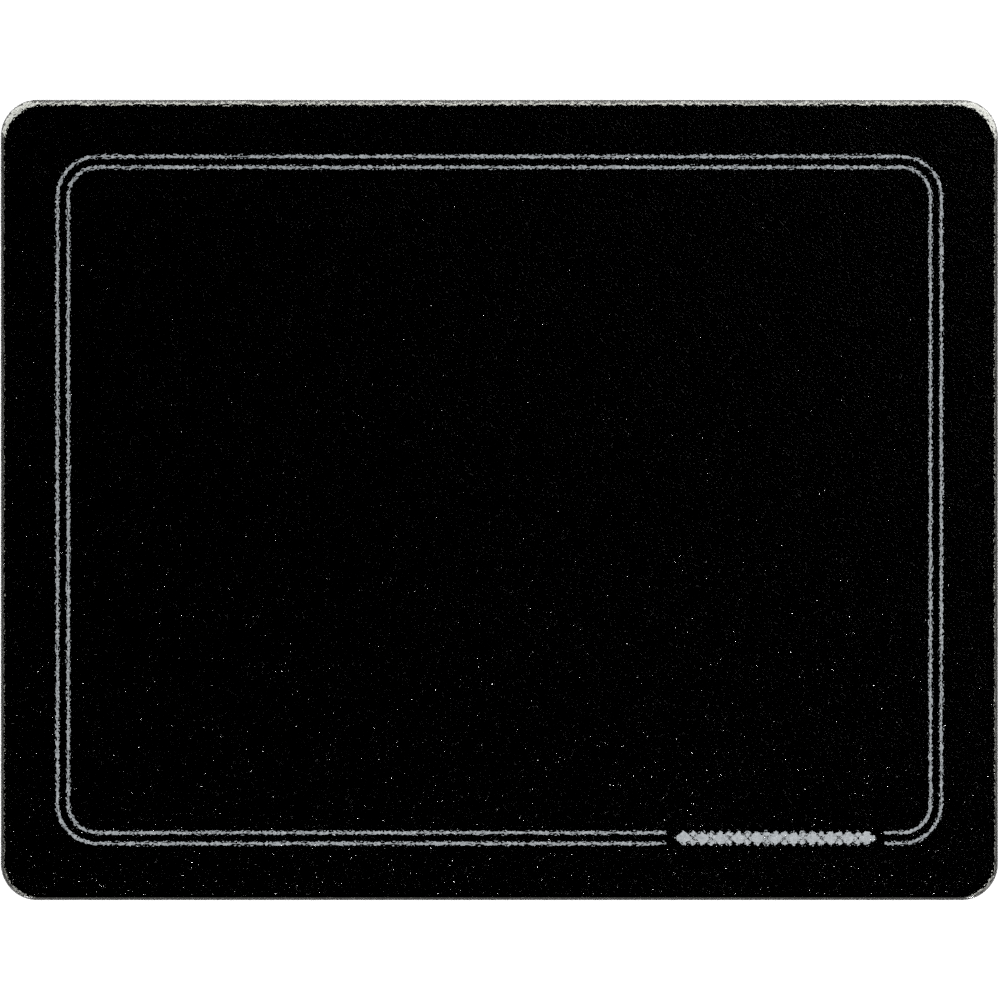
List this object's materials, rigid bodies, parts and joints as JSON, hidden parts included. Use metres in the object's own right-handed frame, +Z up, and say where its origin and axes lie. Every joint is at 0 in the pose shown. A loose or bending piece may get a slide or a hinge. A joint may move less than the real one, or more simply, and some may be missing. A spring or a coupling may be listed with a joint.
{
  "type": "glass work board",
  "caption": "Tempered glass work board with a pebbled top, a black coat and white border lines printed on its back, and rubber feet.",
  "frame": {"origin": "under the middle of the board, on the surface that its feet stand on", "axes": "+X towards the board's right, +Y towards its back edge, away from the ornament, +Z up through the glass"},
  "size_m": [0.38, 0.305, 0.0076],
  "materials": {
    "clear_glass": "clear tempered glass, pebbled on top, smooth below, polished round edge",
    "white_enamel": "thin screen-printed white enamel",
    "black_enamel": "opaque screen-printed black enamel, satin on its back",
    "foot_rubber": "moulded matt black rubber",
    "adhesive_film": "thin off-white acrylic adhesive film"
  },
  "bodies": {
    "root": {"glass_panel": "clear_glass", "border_line_outer": "white_enamel", "border_line_inner": "white_enamel", "label_ornament": "white_enamel", "black_backing": "black_enamel", "foot_front_left": "foot_rubber", "foot_front_right": "foot_rubber", "foot_back_left": "foot_rubber", "foot_back_right": "foot_rubber", "foot_adhesive_front_left": "adhesive_film", "foot_adhesive_front_right": "adhesive_film", "foot_adhesive_back_left": "adhesive_film", "foot_adhesive_back_right": "adhesive_film"}
  },
  "joints": []
}
